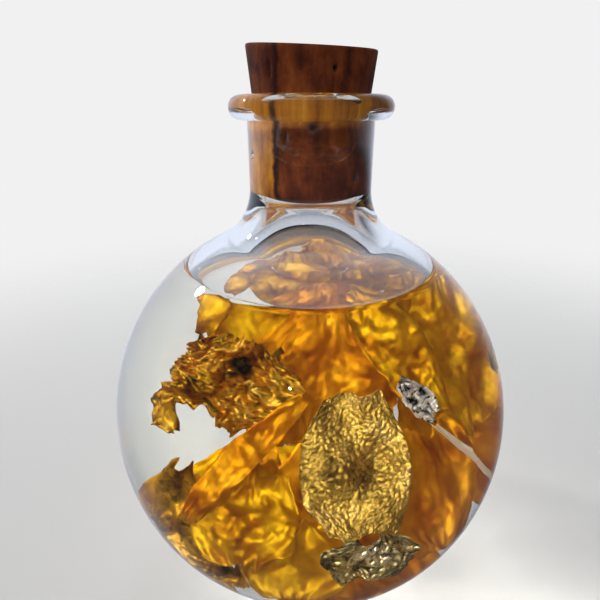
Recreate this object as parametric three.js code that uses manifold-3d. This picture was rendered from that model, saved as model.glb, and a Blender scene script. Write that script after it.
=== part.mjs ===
// Gold sample vial: a blown glass ball bottle with a cork, filled with a clear liquid in which gold leaf hangs.
// Millimetres, +Z up. The origin is the middle of the flat foot that the bottle stands on.
import * as THREE from 'three';
import { mergeVertices } from 'three/addons/utils/BufferGeometryUtils.js';
import Module from 'manifold-3d';

const wasm = await Module();
wasm.setup();

// Driving dimensions of the bottle
const BALL_RADIUS = 19;
const BALL_HEIGHT = 17.5; // from the foot to the ball's centre
const WALL = 1.2; // glass of the ball
const FLOOR = 1.6; // glass under the liquid
const FOOT_EDGE = 0.6; // rounding of the foot's edge
const PUNT_RADIUS = 4.5; // the hollow under the foot
const PUNT_DEPTH = 0.5;
const NECK_RADIUS = 5.3;
const BORE_RADIUS = 4.6;
const THROAT_TOP = 40; // the bore narrows from here down
const THROAT_RADIUS = 4.3; // the bore's narrowest place
const THROAT_FLARE = 4.3; // where the throat runs into the hollow of the ball
const FLARE_RADIUS = 5; // where the neck runs into the ball
const LIP_HEIGHT = 45.5; // middle of the bead of glass round the mouth
const LIP_RADIUS = 5.85;
const LIP_BEAD = 0.95;

// Driving dimensions of the cork
const CORK_BOTTOM = 38.3;
const CORK_DOME = 1.1; // height of the rounded lower end
const CORK_TOP = 50;
const CORK_SMALL_RADIUS = 4.1;
const CORK_MOUTH_RADIUS = 4.3; // where the cork leaves the bore
const CORK_LARGE_RADIUS = 5.2;
const CORK_CHAMFER = 0.35;

// Driving dimensions of the filling
const LIQUID_GAP = 0.35; // clearance between the turning liquid and the glass
const LIQUID_LEVEL = 31.7;
const LEAF_THICKNESS = 0.2;
const FACE_CLEARANCE = 0.45; // liquid kept off each face of a leaf
const RIM_CLEARANCE = 0.45; // liquid kept off a leaf's torn edge
const TEAR = 0.05; // how far the edge wanders, as a share of the leaf's smaller size
const CRUMPLE = 0.45; // height of the crumples in the leaf
const VENT_RADIUS = 0.35; // bore that joins each leaf's pocket to the liquid's skin

// Fineness of the facets
const AROUND = 36;
const BALL_STEPS = 15;
const FLARE_STEPS = 5;
const LIP_STEPS = 9;
const LEAF_ROWS = 5;
const LEAF_COLUMNS = 4;

// The leaves, front to back. at is the middle, size is width and height, turn is the heading that the leaf
// faces (0 is the front, 90 is +X), tip is how far it faces up, lean is how far its top leans towards +X,
// and twist is the turn from its bottom edge to its top edge. Lengths in mm, angles in degrees.
const LEAVES = [
  { name: 'leaf_oval_front', at: [3.4, -12.0, 20.0], size: [7.6, 9.4], turn: 8, tip: 34, lean: 0, twist: 0 },
  { name: 'leaf_ribbon_front', at: [-4.5, -11.5, 20.0], size: [2.8, 10.6], turn: -12, tip: 36, lean: 37, twist: 35 },
  { name: 'leaf_crumpled_left', at: [-5.6, -6.6, 22.9], size: [8.6, 7.4], turn: -10, tip: 30, lean: 12, twist: 0 },
  { name: 'leaf_scrap_left', at: [-10.3, -8.4, 21.6], size: [2.2, 1.8], turn: -30, tip: 20, lean: 30, twist: 0 },
  { name: 'leaf_ribbon_right', at: [6.2, -5.7, 25.2], size: [4.2, 9.8], turn: 14, tip: 32, lean: -25, twist: -25 },
  { name: 'leaf_sparkle_right', at: [7.6, -8.9, 23.2], size: [2.0, 3.2], turn: 20, tip: 45, lean: -30, twist: 40 },
  { name: 'leaf_strip_right', at: [11.7, -8.9, 18.4], size: [1.3, 7.4], turn: 40, tip: 20, lean: -38, twist: 20 },
  { name: 'leaf_sheet_low_right', at: [8.8, -8.9, 15.6], size: [7.6, 8.6], turn: 28, tip: 30, lean: 0, twist: 0 },
  { name: 'leaf_sheet_low_left', at: [-4.2, -12.4, 15.4], size: [7.4, 6.2], turn: -14, tip: 24, lean: 0, twist: 0 },
  { name: 'leaf_curl_low_front', at: [4.4, -13.7, 13.6], size: [7.0, 3.4], turn: 14, tip: 12, lean: 8, twist: 0 },
  { name: 'leaf_sheet_low_front', at: [-1.0, -10.8, 11.2], size: [7.2, 5.2], turn: -4, tip: 20, lean: 0, twist: 0 },
  { name: 'leaf_scrap_low_left', at: [-9.4, -8.6, 14.6], size: [3.0, 5.4], turn: -42, tip: 10, lean: 20, twist: 30 },
  { name: 'leaf_strip_low_left', at: [-10.6, -5.2, 12.6], size: [1.6, 5.0], turn: -60, tip: 5, lean: 30, twist: 30 },
  { name: 'leaf_ribbon_low_left', at: [-7.0, -8.6, 10.0], size: [8.6, 3.0], turn: -20, tip: 26, lean: 33, twist: 0 },
  { name: 'leaf_ribbon_low_front', at: [2.6, -8.4, 7.4], size: [8.4, 3.2], turn: 8, tip: 28, lean: 4, twist: 0 },
  { name: 'leaf_sheet_middle', at: [0.8, -2.4, 20.8], size: [8.4, 9.0], turn: 6, tip: 30, lean: 10, twist: 0 },
  { name: 'leaf_sheet_high_right', at: [11.0, 0.2, 21.6], size: [6.8, 10.4], turn: 24, tip: 30, lean: 0, twist: 0 },
  { name: 'leaf_sheet_low_middle', at: [2.6, -6.8, 13.4], size: [8.0, 6.0], turn: 6, tip: 40, lean: 0, twist: 0 },
  { name: 'leaf_strip_high_left', at: [-6.7, 0.2, 25.8], size: [2.2, 6.2], turn: -25, tip: 25, lean: 12, twist: 30 },
  { name: 'leaf_sheet_inner_left', at: [-4.6, -5.6, 12.8], size: [6.4, 6.0], turn: -16, tip: 35, lean: 10, twist: 0 },
  { name: 'leaf_scrap_right', at: [14.2, -2.4, 22.6], size: [1.8, 2.0], turn: 60, tip: 20, lean: 0, twist: 0 },
  { name: 'leaf_sheet_high_back', at: [2.4, 10.4, 18.6], size: [12.0, 10.6], turn: 4, tip: 34, lean: 4, twist: 0 },
  { name: 'leaf_sheet_back_left', at: [-2.8, 6.8, 20.6], size: [8.0, 8.4], turn: -8, tip: 32, lean: -8, twist: 0 },
  { name: 'leaf_sheet_back_middle', at: [2.0, 5.2, 13.8], size: [8.6, 7.2], turn: 4, tip: 36, lean: 6, twist: 0 },
  { name: 'leaf_sheet_back_right', at: [7.4, 7.4, 21.4], size: [7.6, 8.4], turn: 18, tip: 30, lean: 8, twist: 0 },
  { name: 'leaf_sheet_far_right', at: [9.6, 2.6, 12.4], size: [6.6, 6.6], turn: 30, tip: 34, lean: -10, twist: 0 },
  { name: 'leaf_settled_left', at: [-5.0, 0.6, 8.2], size: [7.0, 6.4], turn: -20, tip: 62, lean: 0, twist: 0 },
  { name: 'leaf_settled_right', at: [4.6, -1.8, 7.0], size: [7.0, 6.4], turn: 24, tip: 70, lean: 0, twist: 0 },
  { name: 'leaf_settled_back', at: [0.4, 7.6, 6.4], size: [6.6, 5.6], turn: 170, tip: 60, lean: 0, twist: 0 },
];

const glass = new THREE.MeshStandardMaterial({
  color: 0xdce8e6, roughness: 0.03, metalness: 0, transparent: true, opacity: 0.35,
});
const liquid = new THREE.MeshStandardMaterial({
  color: 0xf2ead0, roughness: 0.02, metalness: 0, transparent: true, opacity: 0.3,
});
const cork = new THREE.MeshStandardMaterial({ color: 0x8a5a30, roughness: 0.85, metalness: 0 });
const gold = new THREE.MeshStandardMaterial({ color: 0xd49a24, roughness: 0.3, metalness: 1 });

// Points on a circular arc in the profile plane, both ends included, angles in degrees from +X.
function arc(x, y, radius, from, to, steps) {
  const points = [];
  for (let i = 0; i <= steps; i++) {
    const angle = THREE.MathUtils.degToRad(from + ((to - from) * i) / steps);
    points.push(new THREE.Vector2(x + radius * Math.cos(angle), y + radius * Math.sin(angle)));
  }
  return points;
}

// A solid of revolution about +Z from a profile of (radius, height) points.
function turned(profile) {
  return new THREE.LatheGeometry(profile, AROUND).rotateX(Math.PI / 2);
}

// The flare between a tube and a ball below it: an arc that touches both, with where it meets each of them.
function flare(ballRadius, tubeRadius, radius) {
  const x = tubeRadius + radius;
  const y = BALL_HEIGHT + Math.sqrt((ballRadius + radius) ** 2 - x ** 2);
  const ballAngle = THREE.MathUtils.radToDeg(Math.atan2(y - BALL_HEIGHT, x));
  return { x, y, radius, ballAngle };
}

function bottleGeometry() {
  const outer = flare(BALL_RADIUS, NECK_RADIUS, FLARE_RADIUS);
  const inner = flare(BALL_RADIUS - WALL, THROAT_RADIUS, THROAT_FLARE);
  const footAngle = -THREE.MathUtils.radToDeg(Math.asin((BALL_HEIGHT - FOOT_EDGE) / BALL_RADIUS));
  const footRadius = Math.sqrt(BALL_RADIUS ** 2 - (BALL_HEIGHT - FOOT_EDGE) ** 2) - FOOT_EDGE;
  const floorAngle = -THREE.MathUtils.radToDeg(Math.asin((BALL_HEIGHT - FLOOR) / (BALL_RADIUS - WALL)));
  return turned([
    new THREE.Vector2(0, PUNT_DEPTH),
    new THREE.Vector2(PUNT_RADIUS * 0.6, PUNT_DEPTH * 0.7),
    new THREE.Vector2(PUNT_RADIUS, 0),
    new THREE.Vector2(footRadius, 0),
    ...arc(0, BALL_HEIGHT, BALL_RADIUS, footAngle, outer.ballAngle, BALL_STEPS),
    ...arc(outer.x, outer.y, outer.radius, 180 + outer.ballAngle, 180, FLARE_STEPS).slice(1),
    ...arc(LIP_RADIUS, LIP_HEIGHT, LIP_BEAD, -125, 145, LIP_STEPS),
    new THREE.Vector2(BORE_RADIUS, LIP_HEIGHT - LIP_BEAD),
    new THREE.Vector2(BORE_RADIUS, THROAT_TOP),
    ...arc(inner.x, inner.y, inner.radius, 180, 180 + inner.ballAngle, FLARE_STEPS),
    ...arc(0, BALL_HEIGHT, BALL_RADIUS - WALL, inner.ballAngle, floorAngle, BALL_STEPS).slice(1),
    new THREE.Vector2(0, FLOOR),
  ]);
}

function corkGeometry() {
  return turned([
    new THREE.Vector2(0, CORK_BOTTOM),
    new THREE.Vector2(CORK_SMALL_RADIUS * 0.5, CORK_BOTTOM + CORK_DOME * 0.08),
    new THREE.Vector2(CORK_SMALL_RADIUS * 0.8, CORK_BOTTOM + CORK_DOME * 0.4),
    new THREE.Vector2(CORK_SMALL_RADIUS, CORK_BOTTOM + CORK_DOME),
    new THREE.Vector2(CORK_MOUTH_RADIUS, LIP_HEIGHT),
    new THREE.Vector2(CORK_LARGE_RADIUS, CORK_TOP - CORK_CHAMFER),
    new THREE.Vector2(CORK_LARGE_RADIUS - CORK_CHAMFER, CORK_TOP),
    new THREE.Vector2(0, CORK_TOP),
  ]);
}

function fillGeometry() {
  const radius = BALL_RADIUS - WALL - LIQUID_GAP;
  const floor = FLOOR + LIQUID_GAP;
  const floorAngle = -THREE.MathUtils.radToDeg(Math.asin((BALL_HEIGHT - floor) / radius));
  const levelAngle = THREE.MathUtils.radToDeg(Math.asin((LIQUID_LEVEL - BALL_HEIGHT) / radius));
  return turned([
    new THREE.Vector2(0, floor),
    ...arc(0, BALL_HEIGHT, radius, floorAngle, levelAngle, BALL_STEPS),
    new THREE.Vector2(0, LIQUID_LEVEL),
  ]);
}

// A repeatable value from -1 to 1 that looks irregular from one step to the next.
function wobble(seed, step) {
  return Math.sin(seed * 5.3 + step * 2.7);
}

// One point of a torn, crumpled leaf that lies in the XZ plane and faces -Y. u and v run from -1 to 1 across
// and up the leaf, grow moves its edge outwards and depth is the distance behind its middle surface.
function leafPoint(leaf, seed, u, v, grow, depth) {
  const [width, height] = leaf.size;
  const ends = Math.sqrt(1 - (0.82 * v) ** 2);
  const tear = TEAR * Math.min(width, height);
  const x = u * ((width / 2) * ends + tear * Math.abs(u) * wobble(seed + Math.sign(u), v * 4));
  const z = v * (height / 2 + tear * Math.abs(v) * wobble(seed - Math.sign(v), u * 5));
  const crumple = CRUMPLE * Math.sin(1.1 * x + seed) * Math.cos(0.9 * z - 2 * seed);
  const angle = THREE.MathUtils.degToRad(leaf.twist) * (z / height);
  const point = new THREE.Vector3(x + Math.trunc(u) * grow, crumple + depth, z + Math.trunc(v) * grow);
  return point.applyAxisAngle(new THREE.Vector3(0, 0, 1), angle);
}

// A leaf as a thin closed sheet: a front and a back grid of points, joined round the edge.
function leafGeometry(leaf, seed, grow, thickness) {
  const positions = [];
  for (const depth of [-thickness / 2, thickness / 2]) {
    for (let row = 0; row < LEAF_ROWS; row++) {
      for (let column = 0; column < LEAF_COLUMNS; column++) {
        const u = (2 * column) / (LEAF_COLUMNS - 1) - 1;
        const v = (2 * row) / (LEAF_ROWS - 1) - 1;
        positions.push(...leafPoint(leaf, seed, u, v, grow, depth).toArray());
      }
    }
  }
  const back = LEAF_ROWS * LEAF_COLUMNS;
  const at = (row, column) => row * LEAF_COLUMNS + column;
  const index = [];
  const bothFaces = (a, b, c) => index.push(a, b, c, a + back, c + back, b + back);
  for (let row = 0; row < LEAF_ROWS - 1; row++) {
    for (let column = 0; column < LEAF_COLUMNS - 1; column++) {
      bothFaces(at(row, column), at(row, column + 1), at(row + 1, column + 1));
      bothFaces(at(row, column), at(row + 1, column + 1), at(row + 1, column));
    }
  }
  const rim = leafRim(at);
  rim.forEach((corner, i) => {
    const next = rim[(i + 1) % rim.length];
    index.push(next, corner, corner + back, next, corner + back, next + back);
  });
  const geometry = new THREE.BufferGeometry();
  geometry.setAttribute('position', new THREE.Float32BufferAttribute(positions, 3));
  geometry.setIndex(index);
  return geometry;
}

// The points round the edge of a leaf's grid, anticlockwise seen from the front.
function leafRim(at) {
  const loop = [];
  for (let column = 0; column < LEAF_COLUMNS - 1; column++) loop.push(at(0, column));
  for (let row = 0; row < LEAF_ROWS - 1; row++) loop.push(at(row, LEAF_COLUMNS - 1));
  for (let column = LEAF_COLUMNS - 1; column > 0; column--) loop.push(at(LEAF_ROWS - 1, column));
  for (let row = LEAF_ROWS - 1; row > 0; row--) loop.push(at(row, 0));
  return loop;
}

// Puts a leaf, or its pocket, in its place in the vial.
function placeLeaf(object, leaf) {
  const { degToRad } = THREE.MathUtils;
  object.position.set(...leaf.at);
  object.rotation.set(-degToRad(leaf.tip), degToRad(leaf.lean), degToRad(leaf.turn), 'ZXY');
  object.updateMatrixWorld();
  return object;
}

// A closed mesh as a solid for joining and cutting.
function solidOf(geometry) {
  const bare = geometry.clone();
  bare.deleteAttribute('normal');
  bare.deleteAttribute('uv');
  const merged = mergeVertices(bare, 1e-4);
  const index = merged.index.array;
  const triangles = [];
  for (let i = 0; i < index.length; i += 3) {
    const [a, b, c] = index.slice(i, i + 3);
    if (a !== b && b !== c && c !== a) triangles.push(a, b, c);
  }
  return new wasm.Manifold(new wasm.Mesh({
    numProp: 3,
    vertProperties: new Float32Array(merged.attributes.position.array),
    triVerts: new Uint32Array(triangles),
  }));
}

function geometryOf(solid) {
  const mesh = solid.getMesh();
  const geometry = new THREE.BufferGeometry();
  geometry.setAttribute('position', new THREE.BufferAttribute(mesh.vertProperties, 3));
  geometry.setIndex(new THREE.BufferAttribute(mesh.triVerts, 1));
  return geometry;
}

// The narrow bore from a leaf's pocket straight out through the liquid's round side.
function ventGeometry(leaf) {
  const start = new THREE.Vector3(...leaf.at);
  const centre = new THREE.Vector3(0, 0, BALL_HEIGHT);
  const direction = start.clone().sub(centre).normalize();
  const end = centre.clone().addScaledVector(direction, BALL_RADIUS);
  const vent = new THREE.Mesh(new THREE.CylinderGeometry(VENT_RADIUS, VENT_RADIUS, start.distanceTo(end), 3));
  vent.position.copy(start).lerp(end, 0.5);
  vent.quaternion.setFromUnitVectors(new THREE.Vector3(0, 1, 0), direction);
  vent.updateMatrixWorld();
  return vent.geometry.applyMatrix4(vent.matrixWorld);
}

// The liquid, with a pocket for each leaf and a vent from each pocket.
function liquidGeometry() {
  let solid = solidOf(fillGeometry());
  LEAVES.forEach((leaf, seed) => {
    const thickness = LEAF_THICKNESS + 2 * FACE_CLEARANCE;
    const pocket = placeLeaf(new THREE.Mesh(leafGeometry(leaf, seed, RIM_CLEARANCE, thickness)), leaf);
    solid = solid.subtract(solidOf(pocket.geometry.applyMatrix4(pocket.matrixWorld)));
    solid = solid.subtract(solidOf(ventGeometry(leaf)));
  });
  return geometryOf(solid);
}

function named(name, geometry, material) {
  const mesh = new THREE.Mesh(geometry, material);
  mesh.name = name;
  return mesh;
}

function makeContents() {
  const contents = new THREE.Group();
  contents.add(named('liquid_fill', liquidGeometry(), liquid));
  LEAVES.forEach((leaf, seed) => {
    contents.add(placeLeaf(named(leaf.name, leafGeometry(leaf, seed, 0, LEAF_THICKNESS), gold), leaf));
  });
  return contents;
}

const vial = new THREE.Group();
vial.add(named('glass_bottle', bottleGeometry(), glass));
vial.add(named('cork_stopper', corkGeometry(), cork));
vial.add(makeContents());

export default vial;
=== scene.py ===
"""Gold sample vial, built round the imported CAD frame. Metres, +Z up, the middle of the foot at the origin."""
import math

import bmesh
import bpy
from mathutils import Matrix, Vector, noise


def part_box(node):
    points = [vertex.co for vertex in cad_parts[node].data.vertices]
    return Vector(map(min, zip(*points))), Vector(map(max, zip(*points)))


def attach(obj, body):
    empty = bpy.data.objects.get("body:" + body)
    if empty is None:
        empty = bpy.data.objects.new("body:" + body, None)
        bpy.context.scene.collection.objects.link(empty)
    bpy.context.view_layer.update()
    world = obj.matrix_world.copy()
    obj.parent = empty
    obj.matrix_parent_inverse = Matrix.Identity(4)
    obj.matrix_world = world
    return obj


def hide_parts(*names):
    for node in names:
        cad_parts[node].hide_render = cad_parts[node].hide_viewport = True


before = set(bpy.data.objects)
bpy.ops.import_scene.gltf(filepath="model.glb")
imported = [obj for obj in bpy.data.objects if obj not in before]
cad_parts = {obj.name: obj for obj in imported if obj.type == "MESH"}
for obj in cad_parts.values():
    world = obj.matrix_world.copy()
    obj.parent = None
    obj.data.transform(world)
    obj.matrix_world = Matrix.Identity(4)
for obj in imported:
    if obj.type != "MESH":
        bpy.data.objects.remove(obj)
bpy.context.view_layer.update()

MM = 0.001

# ---------------------------------------------------------------- sizes, from the frame or as in the part
cork_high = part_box("cork_stopper")[1]
liquid_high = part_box("liquid_fill")[1]

BALL_RADIUS = 19 * MM
BALL_HEIGHT = 17.5 * MM
BALL_MIDDLE = Vector((0, 0, BALL_HEIGHT))
WALL = 1.2 * MM
FLOOR = 1.6 * MM
FOOT_EDGE = 0.6 * MM
PUNT_RADIUS = 4.5 * MM
PUNT_DEPTH = 0.5 * MM
PUNT_CURVE = [(0, 1), (0.3, 0.95), (0.6, 0.7), (0.85, 0.3), (1, 0)]  # shares of its radius and its depth
NECK_RADIUS = 5.3 * MM
BORE_RADIUS = 4.6 * MM
THROAT_RADIUS = 4.3 * MM  # the bore's narrowest place, below the cork, where the glass is thickest
THROAT_TOP = 40 * MM
THROAT_BOTTOM = 37.86 * MM
THROAT_FLARE = 4.3 * MM
FLARE_RADIUS = 5 * MM
LIP_HEIGHT = 45.5 * MM
LIP_RADIUS = 5.85 * MM
LIP_BEAD = 0.95 * MM
LIP_START, LIP_END = -125, 145  # the bead's arc, in degrees from straight out
MOUTH_EASE = 0.12 * MM  # how much wider the bore opens at the very top

WETTING = 0.03 * MM  # how far liquid and cork reach into the glass, so no film of air lies between them
LEVEL = liquid_high.z
MENISCUS = 0.15 * MM  # how far the liquid climbs the glass above its level
MENISCUS_WIDTH = 0.35 * MM
MENISCUS_REACH = 4.5 * MM  # how far in the meniscus is drawn
DIP = 0.08 * MM  # how far the middle lies below that level
RIPPLE = 0.06 * MM  # height of the waves that the last touch left on the liquid
# How close the waves lie, per metre, to the side and to the back, and where their noise starts
WAVES = (160, 620, 2.5)
CALM_EDGE = 4  # how fast they die out towards the rim

TIP_BOTTOM = 37.9 * MM  # the cork's domed end, below the part that the neck squeezes
SQUEEZE_BOTTOM = 38.8 * MM
CORK_SHOULDER = 0.2 * MM  # where the side starts to round over into the top
CORK_EDGE = [(0.04 * MM, 0.05 * MM), (0.2 * MM, 0)]  # in from the side and down from the top
CORK_SLANT = (-0.1 * MM, -0.046, 0.08)  # the top's drop, its rise to the right and its rise to the back
# The cork's pits: angle round it in degrees from the right side, height, half width and half height in mm
CORK_PITS = [(-88, 44.4, 0.6, 0.4), (-42, 40.4, 0.35, 0.35), (-70, 48.4, 0.15, 0.4), (-128, 48.2, 0.12, 0.7),
             (-15, 47.6, 0.3, 0.2), (35, 48.8, 0.5, 0.25), (62, 42.0, 0.25, 0.4), (95, 47.9, 0.6, 0.2),
             (130, 43.5, 0.3, 0.3), (150, 48.9, 0.25, 0.35), (178, 47.2, 0.2, 0.5), (-160, 42.2, 0.3, 0.35)]
PIT_DEPTH = 0.5 * MM
PIT_SLOPE = 1.5  # how steep their sides are
PIT_RAGGED = 0.35  # how uneven their outline is
PIT_GRAIN = 2.3  # how fine that unevenness is, per mm
PIT_INNERMOST = 4  # mm from the axis: nearer to it, on the cork's ends, there are none

LEAF_THICKNESS = 0.2 * MM  # of the CAD leaf
SHEET_THICKNESS = 0.03 * MM  # of the leaf that shows
SAME_POINT = 1e-6
SAME_LENGTH = 2e-6
TOWARDS_VIEWER = Vector((0.0, -0.8, 0.6))
FEWEST_CELLS = 8
CURL_START, CURL_WIDTH = 0.72, 0.28  # where the edges start to curl and how wide, as shares of the half size

# How many steps each curve is drawn in
AROUND, CORK_AROUND = 128, 192
BALL_STEPS, FLARE_STEPS, LIP_STEPS = 60, 16, 24
LIQUID_STEPS, MENISCUS_STEPS, CALM_STEPS = 64, 24, 60
DOME_STEPS, THROAT_STEPS, SQUEEZE_STEPS, MOUTH_STEPS = 12, 4, 20, 24

# ---------------------------------------------------------------- looks
GLASS_TINT = (0.97, 0.985, 0.98)
GLASS_IOR = 1.5
GLASS_SHADE = 0.88  # how much of a lamp's light gets through
LIQUID_TINT = (0.995, 0.985, 0.94)
LIQUID_IOR = 1.44
LIQUID_SHADE = 0.95
LIQUID_MIRROR = 0.4

# How each flake is crumpled. In mm: bend is broad, fold is sharp, crinkle is fine, streak runs along it, curl
# lifts its edges, and cell is the mesh size. As shares: ragged and grow shape the torn outline, and slim and
# taper narrow it. fine is how close the crinkles lie, and gold is the finish.
PLAIN_LEAF = {"bend": 0.7, "fold": 0.35, "crinkle": 0.05, "streak": 0.2, "curl": 0.8, "ragged": 0.10,
              "grow": 1.06, "cell": 0.18, "slim": 1.0, "taper": 0.0, "fine": 1.0, "gold": "amber"}
LEAF_STYLES = {
    "leaf_oval_front": {"bend": 0.4, "fold": 0.12, "crinkle": 0.13, "streak": 0, "ragged": 0.05, "grow": 1.0,
                        "cell": 0.075, "fine": 1.9, "gold": "khaki"},
    "leaf_ribbon_front": {"fold": 0.5, "gold": "orange", "grow": 1.1, "crinkle": 0.07, "slim": 0.78},
    "leaf_crumpled_left": {"fold": 1.3, "crinkle": 0.14, "streak": 0, "ragged": 0.28, "cell": 0.1,
                           "taper": 0.45, "gold": "dark_painted_hollows"},
    "leaf_scrap_left": {"fold": 0.4, "crinkle": 0.1, "ragged": 0.2, "grow": 1.4, "cell": 0.12,
                        "gold": "bright"},
    "leaf_ribbon_right": {"fold": 0.6, "crinkle": 0.1, "gold": "amber"},
    "leaf_sparkle_right": {"fold": 0.6, "crinkle": 0.3, "streak": 0, "gold": "sparkle", "cell": 0.08},
    "leaf_strip_right": {"fold": 0.15, "bend": 0.2, "streak": 0, "cell": 0.1, "slim": 0.4, "grow": 1.12,
                         "gold": "painted_highlight"},
    "leaf_sheet_low_left": {"fold": 0.9, "crinkle": 0.12, "gold": "amber"},
    "leaf_curl_low_front": {"fold": 0.7, "crinkle": 0.22, "gold": "grey", "cell": 0.09},
    "leaf_scrap_low_left": {"gold": "bright"},
    "leaf_scrap_right": {"gold": "bright"},
    "leaf_ribbon_low_left": {"fold": 0.6, "crinkle": 0.1, "ragged": 0.25, "gold": "bright", "cell": 0.14},
    "leaf_ribbon_low_front": {"fold": 0.6, "crinkle": 0.08, "ragged": 0.25, "gold": "orange", "cell": 0.14},
    "leaf_sheet_low_right": {"gold": "orange"},
    "leaf_sheet_back_left": {"grow": 1.32, "ragged": 0.14},
    "leaf_sheet_low_middle": {"gold": "orange", "grow": 1.32},
    "leaf_sheet_back_middle": {"gold": "orange"},
    "leaf_sheet_far_right": {"gold": "orange"},
    "leaf_settled_left": {"gold": "orange"},
    "leaf_settled_right": {"gold": "orange"},
    "leaf_sheet_middle": {"gold": "orange", "grow": 1.2},
}
# How close each kind of relief lies, per mm across and up the leaf
BEND_GRAIN = 0.16
WARP_GRAIN = 0.5
FOLD_GRAINS = ((0.33, 0.33), (0.5, 0.42))
SMALL_FOLD_GRAIN = (1.1, 0.9)
STREAK_GRAIN = (1.3, 0.3)
CRINKLE_GRAINS = ((1.5, 2.4), (3.4, 4.4))
TEAR_GRAINS = (1.3, 4.1, 13.0)
# How strong its parts are
WARP = 0.5
SMALL_FOLD = 0.4
CRINKLES = (1.6, 0.5)
TEARS = (1.5, 0.7, 0.35)

AMBER_GLOW = (0.90, 0.44, 0.010)
PALE_GLOW = (1.0, 0.95, 0.85)
WARM_EDGE = (1.0, 0.5, 0.03, 1)
PALE_EDGE = (1, 0.9, 0.6, 1)
# Each finish: its colours, its roughness, how much light it lets through, the fold depths in mm between which
# painted shade darkens its hollows, and how dark that painted shade gets in its hollows and in its creases.
# through is the colour of the light that comes through, and edge is what it mirrors at a grazing angle.
GOLDS = {
    "amber": {"deep": (0.34, 0.11, 0.0005), "main": (0.60, 0.33, 0.002), "light": (0.88, 0.58, 0.010),
              "rough": 0.52, "glow": 0.36, "pit": (-0.35, 0.05), "hollow": 0.45, "crease_painted_shade": 0.0},
    "orange": {"deep": (0.30, 0.07, 0.0005), "main": (0.58, 0.25, 0.002), "light": (0.85, 0.46, 0.010),
               "rough": 0.50, "glow": 0.40, "pit": (-0.35, 0.05), "hollow": 0.45, "crease_painted_shade": 0.0},
    "bright": {"deep": (0.05, 0.022, 0.002), "main": (0.60, 0.31, 0.014), "light": (0.90, 0.60, 0.08),
               "rough": 0.36, "glow": 0.28, "pit": (-0.30, 0.05), "hollow": 0.95, "crease_painted_shade": 0.5},
    # painted shade: only its deepest hollows darken, and they darken to near black
    "dark_painted_hollows": {"deep": (0.012, 0.008, 0.002), "main": (0.60, 0.31, 0.014), "light": (0.90, 0.60, 0.08),
               "rough": 0.34, "glow": 0.32, "pit": (-0.6, -0.1), "hollow": 0.95, "crease_painted_shade": 0.6},
    "khaki": {"deep": (0.08, 0.047, 0.008), "main": (0.50, 0.32, 0.05), "light": (0.68, 0.47, 0.12),
              "rough": 0.48, "glow": 0.26, "pit": (-0.3, 0.0), "hollow": 0.25, "crease_painted_shade": 0.7,
              "edge": PALE_EDGE},
    "grey": {"deep": (0.06, 0.05, 0.015), "main": (0.70, 0.56, 0.24), "light": (1.0, 0.97, 0.88),
             "rough": 0.26, "glow": 0.35, "pit": (-0.3, 0.0), "hollow": 0.6, "crease_painted_shade": 0.9,
             "through": (0.9, 0.72, 0.35), "edge": PALE_EDGE},
    "sparkle": {"deep": (0.004, 0.004, 0.004), "main": (0.9, 0.88, 0.84), "light": (1.0, 1.0, 1.0),
                "rough": 0.2, "glow": 0.6, "pit": (-0.12, 0.08), "hollow": 1.0, "crease_painted_shade": 1.0,
                "through": PALE_GLOW, "edge": PALE_EDGE},
    # painted highlight: a near-white, strongly translucent finish for the strip, standing in for the bright
    # line along a fold edge
    "painted_highlight": {"deep": (0.75, 0.68, 0.55), "main": (0.95, 0.90, 0.80), "light": (1.0, 1.0, 1.0),
              "rough": 0.3, "glow": 0.7, "pit": (-0.3, 0.1), "hollow": 0.2, "crease_painted_shade": 0.0,
              "through": PALE_GLOW, "edge": PALE_EDGE},
}
GOLD_STOPS = (0.32, 0.5, 0.68)  # where the deep, the main and the light colour lie in its noise
CREASE_PAINTED_SHADE_DEPTHS = (0.10, 0.42)  # the crinkle heights between which painted shade darkens the creases
GOLD_SMOOTHER, GOLD_ROUGHER = 0.08, 0.12  # how far the grain moves the roughness down and up

CORK_BROWNS = [(0.34, (0.022, 0.003, 0.001)), (0.46, (0.085, 0.015, 0.003)),
               (0.56, (0.16, 0.034, 0.006)), (0.70, (0.27, 0.075, 0.012))]
# The amber colours of the painted light on the cork
CORK_PAINTED_LIGHT_AMBERS = [(0.3, (0.20, 0.055, 0.003)), (0.5, (0.44, 0.16, 0.008)), (0.7, (0.66, 0.31, 0.025))]
CORK_DARK = (0.018, 0.004, 0.003, 1)
STREAK_STRETCH = (1.0, 1.0, 0.3)
WAVER = 1.2 * MM  # how far the edge of the painted light on the left side and the crack wander
PAINTED_LIGHT_SIDE = (-2.3 * MM, -2.1 * MM)  # the painted light fades out between these distances to the right of the axis
PAINTED_LIGHT_TOP = (45.8 * MM, 46.4 * MM)  # and between these heights
PAINTED_LIP_LIGHT_BAND = (44.2 * MM, 45.2 * MM)  # the heights between which the painted light in the band behind the bead fades in
# how strong the painted light in that band is
PAINTED_LIP_LIGHT = 0.75
CRACK_PLACE = -2.0 * MM
CRACK_EDGE = (0.08 * MM, 0.28 * MM)
CRACK_DARKNESS = 0.85
PIT_DARKNESS = 1.4

# ---------------------------------------------------------------- stage settings
FLOOR_RADIUS = 2.5
SHADE_POOL_FADE = (0.03, 0.16)  # the distances from the vial between which the floor, a painted pool of shade, gives way to the brighter backdrop
# The grey of that painted pool of shade
SHADE_POOL_GREY = (0.62, 0.61, 0.59, 1)
BACKDROP_GREY = (0.88, 0.88, 0.88, 1)
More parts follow.
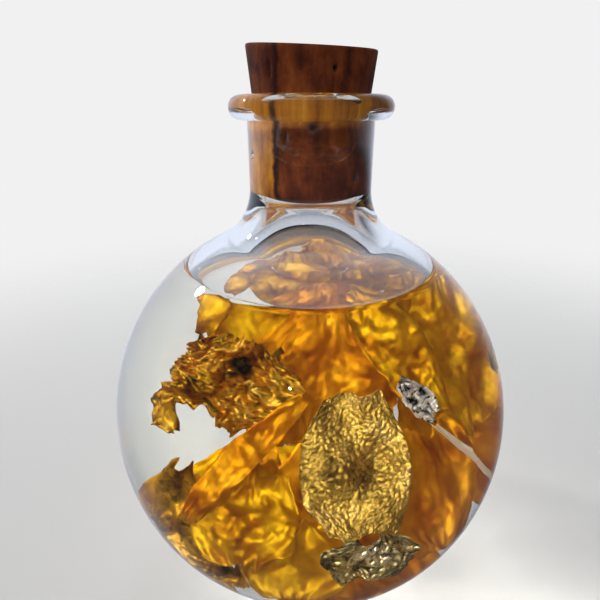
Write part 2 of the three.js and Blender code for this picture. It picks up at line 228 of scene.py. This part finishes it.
# The room's colours, from straight below at 0 to straight above at 1
ROOM = [(0.0, (0.50, 0.52, 0.56)), (0.4, (0.78, 0.84, 0.98)),
        (0.75, (0.80, 0.86, 1.0)), (1.0, (1.0, 1.1, 1.3))]
ROOM_BACK = (-0.34, 0.94, 0.0)  # the direction of its bright side
ROOM_EDGE = (0.1, 0.8)  # how far towards that side it starts and stops to brighten
ROOM_DIM = 0.11  # how bright the rest is
AIM_POINT = (0, 0, 0.02)
LAMP_DISTANCE = 1.0
# Each soft lamp: its azimuth and elevation in degrees, its width, its power and its colour
LAMPS = {"key": (-62, 32, 0.08, 4.2, (1.0, 0.97, 0.92)), "front": (-168, 36, 0.015, 5.0, (1.0, 0.98, 0.95))}


# ---------------------------------------------------------------- helpers
def new_object(name, bm):
    mesh = bpy.data.meshes.new(name)
    bm.to_mesh(mesh)
    bm.free()
    obj = bpy.data.objects.new(name, mesh)
    bpy.context.scene.collection.objects.link(obj)
    return obj


def smooth(obj):
    for polygon in obj.data.polygons:
        polygon.use_smooth = True
    return obj


def arc(x, y, radius, start, end, steps):
    """Points on a circular arc in the profile plane, both ends included, angles in degrees from +X."""
    points = []
    for i in range(steps + 1):
        angle = math.radians(start + (end - start) * i / steps)
        points.append((x + radius * math.cos(angle), y + radius * math.sin(angle)))
    return points


def along(start, end, steps):
    """Points on a straight line of the profile, both ends included."""
    return [(start[0] + (end[0] - start[0]) * i / steps, start[1] + (end[1] - start[1]) * i / steps)
            for i in range(steps + 1)]


def flare(ball_radius, tube_radius, radius):
    """The arc that touches a ball and a tube above it: its centre, and the angle where it meets the ball."""
    x = tube_radius + radius
    y = BALL_HEIGHT + math.sqrt((ball_radius + radius) ** 2 - x ** 2)
    return x, y, radius, math.degrees(math.atan2(y - BALL_HEIGHT, x))


def below_middle(height, radius):
    """The angle, in degrees, at which a ball round the middle reaches down to this height."""
    return -math.degrees(math.asin((BALL_HEIGHT - height) / radius))


def turned(name, profile, around=AROUND):
    """A closed skin of revolution from a profile that starts and ends on the axis."""
    bm = bmesh.new()
    rings = []
    for r, z in profile:
        if r < 1e-7:
            rings.append([bm.verts.new((0, 0, z))])
            continue
        ring = []
        for i in range(around):
            angle = 2 * math.pi * i / around
            ring.append(bm.verts.new((r * math.cos(angle), r * math.sin(angle), z)))
        rings.append(ring)
    for low, high in zip(rings, rings[1:]):
        for i in range(around):
            j = (i + 1) % around
            if len(low) == 1:
                bm.faces.new((low[0], high[j], high[i]))
            elif len(high) == 1:
                bm.faces.new((low[i], low[j], high[0]))
            else:
                bm.faces.new((low[i], low[j], high[j], high[i]))
    bmesh.ops.recalc_face_normals(bm, faces=bm.faces)
    return smooth(new_object(name, bm))


# ---------------------------------------------------------------- materials
class Nodes:
    """A short way to write the node tree of a new material or of the world."""

    def __init__(self, owner):
        owner.use_nodes = True
        self.owner = owner
        self.tree = owner.node_tree
        self.tree.nodes.clear()

    def add(self, kind, inputs=(), **settings):
        node = self.tree.nodes.new("ShaderNode" + kind)
        for key, value in settings.items():
            setattr(node, key, value)
        for socket, value in dict(inputs).items():
            target = node.inputs[socket]
            if isinstance(value, bpy.types.NodeSocket):
                self.tree.links.new(value, target)
            else:
                target.default_value = value
        return node

    def output(self, first, second, share, kind="Material"):
        """Ends the tree with a mix of two shaders; share is how much of the second."""
        mix = self.add("MixShader", {0: share, 1: first.outputs[0], 2: second.outputs[0]})
        self.add("Output" + kind, {"Surface": mix.outputs[0]})
        return self.owner

    def place(self):
        return self.add("TexCoord").outputs["Object"]

    def math(self, operation, *values):
        return self.add("Math", dict(enumerate(values)), operation=operation).outputs[0]

    def remap(self, value, start, end, first, last, kind="LINEAR"):
        """first at start, last at end, and held beyond them."""
        return self.add("MapRange", {"Value": value, "From Min": start, "From Max": end, "To Min": first,
                                     "To Max": last}, interpolation_type=kind).outputs[0]

    def mix(self, share, first, second):
        return self.add("MixRGB", {"Fac": share, "Color1": first, "Color2": second}).outputs[0]

    def attribute(self, name):
        return self.add("Attribute", attribute_name=name).outputs["Fac"]

    def noise(self, scale, detail, roughness, vector):
        return self.add("TexNoise", {"Scale": scale, "Detail": detail, "Roughness": roughness,
                                     "Vector": vector}).outputs["Fac"]

    def bump(self, height, strength, distance):
        return self.add("Bump", {"Height": height, "Strength": strength, "Distance": distance}).outputs[0]

    def ramp(self, fac, stops):
        node = self.add("ValToRGB", {"Fac": fac})
        ramp = node.color_ramp
        while len(ramp.elements) < len(stops):
            ramp.elements.new(0.5)
        for element, (position, color) in zip(ramp.elements, stops):
            element.position = position
            element.color = (*color, 1)
        return node.outputs["Color"]


def clear_material(name, color, ior, shade, mirror):
    """Glass or liquid: it bends the view and lets lamps through. mirror is how much of its gloss shows."""
    n = Nodes(bpy.data.materials.new(name))
    body = n.add("BsdfPrincipled", {
        "Base Color": (*color, 1), "Roughness": 0.0, "IOR": ior, "Transmission Weight": 1.0,
        "Specular Tint": (mirror, mirror, mirror, 1),
    })
    through = n.add("BsdfTransparent", {"Color": (shade, shade, shade, 1)})
    return n.output(body, through, n.add("LightPath").outputs["Is Shadow Ray"])


def clear_skin(obj, name, color, ior, shade, mirror, touches):
    """Gives obj its clear material, and one without gloss where touches(centre): there glass meets liquid."""
    obj.data.materials.append(clear_material(name, color, ior, shade, mirror))
    obj.data.materials.append(clear_material(name + "_wet", color, ior, shade, 0.0))
    for polygon in obj.data.polygons:
        polygon.material_index = int(touches(polygon.center))


def leaf_material(name):
    """Crumpled gold leaf: metal that lets a little amber light through, with painted shade in its hollows and
    creases.
    """
    if "gold_" + name in bpy.data.materials:
        return bpy.data.materials["gold_" + name]
    look = GOLDS[name]
    n = Nodes(bpy.data.materials.new("gold_" + name))
    where = n.place()
    deep = (*look["deep"], 1)
    colors = (look["deep"], look["main"], look["light"])
    color = n.ramp(n.noise(380, 5, 0.65, where), list(zip(GOLD_STOPS, colors)))
    # Painted shade: the colour, and the light that comes through, darken towards deep in the fold hollows and
    # the crinkle creases
    hollow = n.remap(n.attribute("fold"), *look["pit"], look["hollow"], 0.0, "SMOOTHSTEP")
    crease_painted_shade = n.remap(n.attribute("crinkle"), *CREASE_PAINTED_SHADE_DEPTHS, look["crease_painted_shade"], 0.0, "SMOOTHSTEP")
    dark = n.math("MAXIMUM", hollow, crease_painted_shade)
    rough = look["rough"]
    metal = n.add("BsdfPrincipled", {
        "Base Color": n.mix(dark, color, deep), "Metallic": 1.0,
        "Roughness": n.remap(n.noise(2600, 3, 0.6, where), 0, 1, rough - GOLD_SMOOTHER, rough + GOLD_ROUGHER),
        "Normal": n.bump(n.noise(4200, 3, 0.6, where), 0.5, 0.05 * MM),
        "Specular Tint": look.get("edge", WARM_EDGE),
    })
    glow = n.add("BsdfTranslucent", {"Color": n.mix(dark, (*look.get("through", AMBER_GLOW), 1), deep)})
    return n.output(metal, glow, look["glow"])


def cork_material():
    """Brown cork with dark streaks, a crack and pits, and painted light: amber on its left side and in a band
    behind the bead, below about the top of the lip.
    """
    n = Nodes(bpy.data.materials.new("natural_cork"))
    where = n.place()
    axes = n.add("SeparateXYZ", {0: where})
    tall = n.add("Mapping", {"Vector": where, "Scale": STREAK_STRETCH}).outputs[0]
    streak = n.noise(900, 5, 0.62, tall)
    mottle = n.noise(380, 4, 0.6, where)
    brown = n.ramp(n.math("MULTIPLY", n.math("ADD", streak, mottle), 0.5), CORK_BROWNS)
    wave = n.math("MULTIPLY_ADD", mottle, WAVER, axes.outputs["X"])
    # Painted light: the cork turns amber on its left side and behind the bead
    color = n.mix(painted_light_part(n, wave, axes.outputs["Z"]), brown, n.ramp(streak, CORK_PAINTED_LIGHT_AMBERS))
    dark = n.math("MAXIMUM", crack_part(n, wave), n.attribute("pit"))
    body = n.add("BsdfPrincipled", {
        "Base Color": n.mix(dark, color, CORK_DARK), "Roughness": 0.85, "Specular IOR Level": 0.2,
        "Normal": n.bump(n.noise(4200, 4, 0.6, where), 0.6, 0.1 * MM),
    })
    n.add("OutputMaterial", {"Surface": body.outputs[0]})
    return n.owner


def painted_light_part(n, wave, height):
    """How much painted light turns the cork amber: on its left side, and in a band all round behind the bead.
    """
    below = n.remap(height, *PAINTED_LIGHT_TOP, 1.0, 0.0)
    side = n.math("MULTIPLY", n.remap(wave, *PAINTED_LIGHT_SIDE, 1.0, 0.0), below)
    band = n.math("MULTIPLY", n.remap(height, *PAINTED_LIP_LIGHT_BAND, 0.0, PAINTED_LIP_LIGHT), below)
    return n.math("MAXIMUM", side, band)


def crack_part(n, wave):
    """How dark the cork is along the upright crack beside the painted light on its left side."""
    off = n.math("ABSOLUTE", n.math("SUBTRACT", wave, CRACK_PLACE))
    return n.remap(off, *CRACK_EDGE, CRACK_DARKNESS, 0.0)


# ---------------------------------------------------------------- bottle, liquid and cork
def make_bottle():
    outer = flare(BALL_RADIUS, NECK_RADIUS, FLARE_RADIUS)
    inner = flare(BALL_RADIUS - WALL, THROAT_RADIUS, THROAT_FLARE)
    foot_radius = math.sqrt(BALL_RADIUS ** 2 - (BALL_HEIGHT - FOOT_EDGE) ** 2) - FOOT_EDGE
    profile = [(PUNT_RADIUS * out, PUNT_DEPTH * up) for out, up in PUNT_CURVE] + [(foot_radius, 0)]
    profile += arc(0, BALL_HEIGHT, BALL_RADIUS, below_middle(FOOT_EDGE, BALL_RADIUS), outer[3], BALL_STEPS)
    profile += arc(*outer[:3], 180 + outer[3], 180, FLARE_STEPS)[1:]
    profile += arc(LIP_RADIUS, LIP_HEIGHT, LIP_BEAD, LIP_START, LIP_END, LIP_STEPS)
    profile += [(BORE_RADIUS + MOUTH_EASE, LIP_HEIGHT), (BORE_RADIUS, LIP_HEIGHT - LIP_BEAD),
                (BORE_RADIUS, THROAT_TOP)]
    profile += arc(*inner[:3], 180, 180 + inner[3], FLARE_STEPS)
    floor_angle = below_middle(FLOOR, BALL_RADIUS - WALL)
    profile += arc(0, BALL_HEIGHT, BALL_RADIUS - WALL, inner[3], floor_angle, BALL_STEPS)[1:]
    profile += [(0, FLOOR)]
    bottle = turned("bottle_glass", profile)

    def touches(centre):
        inside = (centre - BALL_MIDDLE).length < BALL_RADIUS - WALL / 2
        return inside and FLOOR / 2 < centre.z < LEVEL + MENISCUS
    clear_skin(bottle, "bottle_glass", GLASS_TINT, GLASS_IOR, GLASS_SHADE, 1.0, touches)
    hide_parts("glass_bottle")
    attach(bottle, "bottle")


def make_liquid():
    radius = BALL_RADIUS - WALL + WETTING
    floor = FLOOR - WETTING
    top_angle = math.degrees(math.asin((LEVEL + MENISCUS - BALL_HEIGHT) / radius))
    profile = [(0, floor)] + arc(0, BALL_HEIGHT, radius, below_middle(floor, radius), top_angle, LIQUID_STEPS)
    profile += liquid_top(profile[-1][0])
    liquid = turned("liquid_clear", profile)
    ripple(liquid, profile[-CALM_STEPS - 1][0])

    def touches(centre):
        return centre.z < LEVEL - 2 * DIP or (centre - BALL_MIDDLE).length > radius - WETTING
    clear_skin(liquid, "clear_liquid", LIQUID_TINT, LIQUID_IOR, LIQUID_SHADE, LIQUID_MIRROR, touches)
    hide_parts("liquid_fill")
    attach(liquid, "contents")


def liquid_top(rim):
    """The surface from its rim to the axis: the meniscus, with more rings near the glass, then the flat."""
    points = []
    for i in range(1, MENISCUS_STEPS + 1):
        inward = MENISCUS_REACH * (i / MENISCUS_STEPS) ** 1.5
        height = LEVEL + (MENISCUS + DIP) * math.exp(-inward / MENISCUS_WIDTH) - DIP
        points.append((rim - inward, height))
    calm = points[-1][0]
    return points + [(calm * (1 - i / CALM_STEPS), LEVEL - DIP) for i in range(1, CALM_STEPS + 1)]


def ripple(liquid, calm):
    """Gentle waves on the surface. They die out towards calm, the radius at which the meniscus starts."""
    across, deep, start = WAVES
    for vertex in liquid.data.vertices:
        x, y, z = vertex.co
        if z > LEVEL - 2 * DIP:
            fade = min(1, max(0, 1 - math.hypot(x, y) / calm) * CALM_EDGE)
            wave = noise.noise(Vector((x * across, y * deep, start)))
            vertex.co.z += fade * RIPPLE * wave


def make_cork():
    """The tapered cork: domed below, squeezed by the throat and the bore, with a slanted top and pits."""
    squeezed = BORE_RADIUS + WETTING
    throat = THROAT_RADIUS + WETTING
    end = throat + (squeezed - throat) * (SQUEEZE_BOTTOM - THROAT_BOTTOM) / (THROAT_TOP - THROAT_BOTTOM)
    top = cork_high.z
    large = cork_high.x
    profile = [(0, TIP_BOTTOM)]
    for i in range(1, DOME_STEPS + 1):
        share = i / DOME_STEPS
        profile.append((end * share, TIP_BOTTOM + (SQUEEZE_BOTTOM - TIP_BOTTOM) * share ** 4))
    profile += along((end, SQUEEZE_BOTTOM), (squeezed, THROAT_TOP), THROAT_STEPS)[1:]
    profile += along((squeezed, THROAT_TOP), (squeezed, LIP_HEIGHT - LIP_BEAD), SQUEEZE_STEPS)[1:]
    profile += along(profile[-1], (large, top - CORK_SHOULDER), MOUTH_STEPS)[1:]
    profile += [(large - inward, top - down) for inward, down in CORK_EDGE]
    profile += [(large * 0.5, top), (0, top)]
    cork = turned("cork_natural", profile, CORK_AROUND)
    weather(cork, top)
    cork.data.materials.append(cork_material())
    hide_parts("cork_stopper")
    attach(cork, "stopper")


def weather(cork, top):
    """Sinks the pits into the cork's side and slants its top."""
    pits = cork.data.attributes.new("pit", "FLOAT", "POINT")
    drop, rise_right, rise_back = CORK_SLANT
    for i, vertex in enumerate(cork.data.vertices):
        x, y, z = vertex.co / MM
        depth = pit_depth(x, y, z)
        pits.data[i].value = min(1.0, PIT_DARKNESS * depth)
        outward = Vector((x, y, 0)).normalized()
        vertex.co -= outward * depth * PIT_DEPTH
        slant = max(0, (z * MM - LIP_HEIGHT) / (top - LIP_HEIGHT))
        vertex.co.z += slant * (drop + rise_right * vertex.co.x + rise_back * vertex.co.y)


def pit_depth(x, y, z):
    """How deep the cork is pitted here, 0 to 1; x, y and z in mm."""
    angle = math.degrees(math.atan2(y, x))
    ragged = 1 + PIT_RAGGED * noise.noise(Vector((x * PIT_GRAIN, y * PIT_GRAIN, z * PIT_GRAIN)))
    depth = 0
    for pit_angle, pit_z, width, tall in CORK_PITS:
        turn = (angle - pit_angle + 180) % 360 - 180
        across = math.radians(turn) * math.hypot(x, y) / width
        off = math.hypot(across, (z - pit_z) / tall) * ragged
        depth = max(depth, min(1, max(0, PIT_SLOPE * (1 - off))))
    return depth if math.hypot(x, y) > PIT_INNERMOST else 0


# ---------------------------------------------------------------- the CAD leaf's curve
def leaf_grid(node):
    """The points of a CAD leaf's front face, as rows from the bottom up, each from left to right."""
    bm = bmesh.new()
    bm.from_mesh(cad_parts[node].data)
    bmesh.ops.remove_doubles(bm, verts=bm.verts, dist=SAME_POINT)
    rim = {f for f in bm.faces if any(abs(e.calc_length() - LEAF_THICKNESS) < SAME_LENGTH for e in f.edges)}
    bmesh.ops.delete(bm, geom=list(rim), context="FACES")
    front = max(islands(bm), key=facing_front)
    bmesh.ops.delete(bm, geom=[f for f in bm.faces if f not in front], context="FACES")
    bm.normal_update()
    rows = [bottom_row(bm)]
    side = rows[0][-1]
    previous = rows[0][-2]
    while True:
        up = [e.other_vert(side) for e in side.link_edges if e.is_boundary]
        up = [v for v in up if v is not previous][0]
        previous, side = side, up
        rows.append(next_row(rows[-1], side))
        if len(side.link_edges) == 3:
            break
    points = [[v.co - v.normal * LEAF_THICKNESS / 2 for v in row] for row in rows]
    bm.free()
    return points


def islands(bm):
    """The mesh's faces, in one set for each part of it that hangs together."""
    left = set(bm.faces)
    groups = []
    while left:
        group, edge = set(), [left.pop()]
        while edge:
            face = edge.pop()
            group.add(face)
            for e in face.edges:
                for other in e.link_faces:
                    if other in left:
                        left.remove(other)
                        edge.append(other)
        groups.append(group)
    return groups


def facing_front(group):
    total = sum((f.normal * f.calc_area() for f in group), Vector())
    return total.dot(TOWARDS_VIEWER)


def bottom_row(bm):
    """The shorter side between a corner that ends in one triangle and a corner that ends in two."""
    starts = [v for v in bm.verts if len(v.link_edges) == 2]
    start = min(starts, key=lambda v: v.co.z)
    best = None
    for edge in start.link_edges:
        walk = [start, edge.other_vert(start)]
        while len(walk[-1].link_edges) > 3:
            ahead = [e.other_vert(walk[-1]) for e in walk[-1].link_edges if e.is_boundary]
            walk.append([v for v in ahead if v is not walk[-2]][0])
        if best is None or len(walk) < len(best):
            best = walk
    return best[::-1]


def next_row(row, side):
    """The row above this one, from its right end: each point closes the triangle on a cell's diagonal."""
    above = [side]
    for i in range(len(row) - 2, -1, -1):
        diagonal = [e for e in row[i].link_edges if e.other_vert(row[i]) is above[-1]][0]
        corners = [v for f in diagonal.link_faces for v in f.verts]
        above.append([v for v in corners if v not in (row[i], above[-1], row[i + 1])][0])
    return above[::-1]


def spline(points, t):
    """A smooth curve through points, carried on in a straight line past its ends; t runs from 0 to 1."""
    x = t * (len(points) - 1)
    i = min(max(int(math.floor(x)), 0), len(points) - 2)
    x -= i
    if x < 0 or x > 1:
        return points[i] + (points[i + 1] - points[i]) * x
    before = points[i - 1] if i > 0 else 2 * points[0] - points[1]
    after = points[i + 2] if i + 2 < len(points) else 2 * points[-1] - points[-2]
    p, q = points[i], points[i + 1]
    return 0.5 * (2 * p + (q - before) * x + (2 * before - 5 * p + 4 * q - after) * x * x
                  + (3 * p - before - 3 * q + after) * x ** 3)


# ---------------------------------------------------------------- leaves
def fractal(x, y, seed, octaves=3):
    """Noise from about -1 to 1."""
    return noise.fractal(Vector((x, y, seed)), 0.9, 2.1, octaves)


def ridge(x, y, seed):
    """Noise that turns sharply where it is 0, as a fold does."""
    return abs(noise.noise(Vector((x, y, seed))))


def tear(place, seed, raggedness):
    """How far out a torn edge reaches at this place along it, as a share of the leaf's half size."""
    broad, small, fine = (noise.noise(Vector((place * grain, seed, start)))
                          for grain, start in zip(TEAR_GRAINS, (0.5, 3.5, 7.5)))
    return 1 + raggedness * (TEARS[0] * broad + TEARS[1] * small + TEARS[2] * fine)


def relief(x, y, seed, style):
    """The bends and the folds, both in mm off the smooth shape, and the fine crinkle from 0 to about 1."""
    bend = style["bend"] * fractal(x * BEND_GRAIN, y * BEND_GRAIN, seed, 2)
    warp = WARP * fractal(x * WARP_GRAIN, y * WARP_GRAIN, seed + 9)
    (ax, ay), (bx, by) = FOLD_GRAINS
    fold = style["fold"] * (ridge(x * ax + warp, y * ay, seed + 20) - ridge(x * bx, y * by + warp, seed + 30))
    sx, sy = SMALL_FOLD_GRAIN
    small = SMALL_FOLD * style["fold"] * ridge(x * sx + warp, y * sy - warp, seed + 40)
    tx, ty = STREAK_GRAIN
    streak = style["streak"] * ridge(x * tx + warp, y * ty, seed + 45)
    fx, fy = x * style["fine"], y * style["fine"]
    (cx, cy), (dx, dy) = CRINKLE_GRAINS
    crinkle = (CRINKLES[0] * ridge(fx * cx + warp, fy * cy + 2 * warp, seed + 50)
               + CRINKLES[1] * ridge(fx * dx, fy * dy, seed + 60))
    return bend + streak, fold + small, crinkle


def make_leaf(node, index):
    """One flake: the CAD leaf's curve with a torn outline, and bends, folds and crinkles of its own."""
    style = {**PLAIN_LEAF, **LEAF_STYLES.get(node, {})}
    grid = leaf_grid(node)
    middle = len(grid[0]) // 2
    width = max((row[-1] - row[0]).length for row in grid) / MM
    height = (grid[-1][middle] - grid[0][middle]).length / MM
    seed = 11.3 * index + 4.7
    bm = bmesh.new()
    fold_layer = bm.verts.layers.float.new("fold")
    crinkle_layer = bm.verts.layers.float.new("crinkle")
    skin = torn_sheet(bm, grid, style, seed, (width, height))
    crumple(bm, skin, (fold_layer, crinkle_layer), style, seed, (width, height))
    leaf = smooth(new_object("gold_" + node, bm))
    thin = leaf.modifiers.new("thickness", "SOLIDIFY")
    thin.thickness = SHEET_THICKNESS
    thin.offset = 0
    leaf.data.materials.append(leaf_material(style["gold"]))
    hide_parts(node)
    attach(leaf, "contents")


def torn_sheet(bm, grid, style, seed, size):
    """A fine sheet on the grid's curve, with a torn outline, as rows of points."""
    columns, rows = (max(FEWEST_CELLS, round(side / style["cell"])) for side in size)
    skin = []
    for j in range(rows + 1):
        b = 2 * j / rows - 1
        line = []
        for i in range(columns + 1):
            a = 2 * i / columns - 1
            reach_x = tear(b, seed + (2 if a > 0 else 5), style["ragged"])
            reach_y = tear(a, seed + (8 if b > 0 else 13), style["ragged"])
            s = 0.5 + 0.5 * a * style["slim"] * (1 + (reach_x * style["grow"] - 1) * a * a)
            pinch = 1 - style["taper"] * (1 - a) / 2
            t = 0.5 + 0.5 * b * pinch * (1 + (reach_y * style["grow"] - 1) * b * b)
            line.append(bm.verts.new(spline([spline(row, s) for row in grid], t)))
        skin.append(line)
    for low, high in zip(skin, skin[1:]):
        for i in range(columns):
            bm.faces.new((low[i], low[i + 1], high[i + 1], high[i]))
    return skin


def crumple(bm, skin, layers, style, seed, size):
    """Moves the sheet's points off its smooth curve, and notes folds and crinkles for the material, which
    paints shade into the hollows and creases.
    """
    fold_layer, crinkle_layer = layers
    width, height = size
    bm.normal_update()
    moves = []
    for j, line in enumerate(skin):
        b = 2 * j / (len(skin) - 1) - 1
        for i, v in enumerate(line):
            a = 2 * i / (len(line) - 1) - 1
            bend, v[fold_layer], v[crinkle_layer] = relief(a * width / 2, b * height / 2, seed, style)
            out = max(0, (max(abs(a), abs(b)) - CURL_START) / CURL_WIDTH)
            bend += style["curl"] * out ** 2 * fractal(a * 1.2, b * 1.2, seed + 70)
            off = bend + v[fold_layer] + style["crinkle"] * v[crinkle_layer]
            moves.append((v, v.normal * off * MM))
    for v, move in moves:
        v.co += move


# ---------------------------------------------------------------- stage
def aim(azimuth, elevation):
    """A lamp's place; azimuth 0 is straight behind the vial, 90 is to its right."""
    a, e = math.radians(azimuth), math.radians(elevation)
    direction = Vector((math.sin(a) * math.cos(e), math.cos(a) * math.cos(e), math.sin(e)))
    return Vector(AIM_POINT) + LAMP_DISTANCE * direction


def make_floor():
    """A round grey floor that fades out before its edge shows: near the vial it is a painted pool of shade,
    darker than the backdrop it fades into, and the lamps' shadows on it are real. The glass doesn't mirror it.
    """
    bm = bmesh.new()
    bmesh.ops.create_circle(bm, cap_ends=True, radius=FLOOR_RADIUS, segments=96)
    floor = new_object("floor", bm)
    floor.visible_glossy = False
    n = Nodes(bpy.data.materials.new("floor"))
    far = n.add("VectorMath", {0: n.place()}, operation="LENGTH").outputs["Value"]
    # Painted shade: the grey floor shows near the vial and gives way to the brighter backdrop farther out
    fade = n.remap(far, *SHADE_POOL_FADE, 0.0, 1.0, "SMOOTHERSTEP")
    body = n.add("BsdfPrincipled", {"Base Color": SHADE_POOL_GREY, "Roughness": 0.8})
    floor.data.materials.append(n.output(body, n.add("BsdfTransparent"), fade))


def place_lamp(light, location, target):
    obj = bpy.data.objects.new(light.name, light)
    obj.location = location
    obj.rotation_euler = (Vector(target) - obj.location).to_track_quat("-Z", "Y").to_euler()
    bpy.context.scene.collection.objects.link(obj)


def make_lamp(name, azimuth, elevation, size, power, color):
    light = bpy.data.lights.new(name, "AREA")
    light.energy = power
    light.shape = "DISK"
    light.size = size
    light.color = color
    place_lamp(light, aim(azimuth, elevation), AIM_POINT)


def make_backdrop_lamp():
    """A soft spot on the floor behind the vial, which shows through the neck and the shoulder."""
    light = bpy.data.lights.new("backdrop", "SPOT")
    light.energy = 5.0
    light.spot_size = math.radians(34)
    light.spot_blend = 1.0
    light.shadow_soft_size = 0.03
    light.color = (0.93, 0.97, 1.0)
    place_lamp(light, (-0.03, 0.30, 0.5), (0.0, 0.13, 0.0))


def make_camera():
    """Near the vial and above its middle, looking down at it."""
    data = bpy.data.cameras.new("camera")
    data.sensor_width = 36
    data.lens = 26.9
    data.clip_start = 1 * MM
    camera = bpy.data.objects.new("camera", data)
    camera.location = (0, -0.0402, 0.0454)
    camera.rotation_euler = (math.radians(90 - 23.1), 0, math.radians(1.3))
    bpy.context.scene.collection.objects.link(camera)
    bpy.context.scene.camera = camera


def make_world():
    """A pale backdrop for the eye; a softer, darker room for the light and the reflections."""
    world = bpy.data.worlds.new("studio")
    bpy.context.scene.world = world
    n = Nodes(world)
    direction = n.add("TexCoord").outputs["Generated"]
    axes = n.add("SeparateXYZ", {0: direction})
    behind = n.add("VectorMath", {0: direction, 1: ROOM_BACK}, operation="DOT_PRODUCT").outputs["Value"]
    strength = n.remap(behind, *ROOM_EDGE, ROOM_DIM, 1.0, "SMOOTHSTEP")
    color = n.ramp(n.remap(axes.outputs["Z"], -1.0, 1.0, 0.0, 1.0), ROOM)
    room = n.add("Background", {"Color": color, "Strength": strength})
    backdrop = n.add("Background", {"Color": BACKDROP_GREY, "Strength": 1.0})
    n.output(room, backdrop, n.add("LightPath").outputs["Is Camera Ray"], "World")


make_camera()
make_world()
make_floor()
make_bottle()
make_liquid()
make_cork()
for index, node in enumerate(sorted(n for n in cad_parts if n.startswith("leaf_"))):
    make_leaf(node, index)
for name, settings in LAMPS.items():
    make_lamp(name, *settings)
make_backdrop_lamp()

scene = bpy.context.scene
scene.cycles.max_bounces = 24
scene.cycles.transmission_bounces = 20
scene.cycles.glossy_bounces = 8
scene.cycles.transparent_max_bounces = 24
scene.view_settings.view_transform = "Standard"
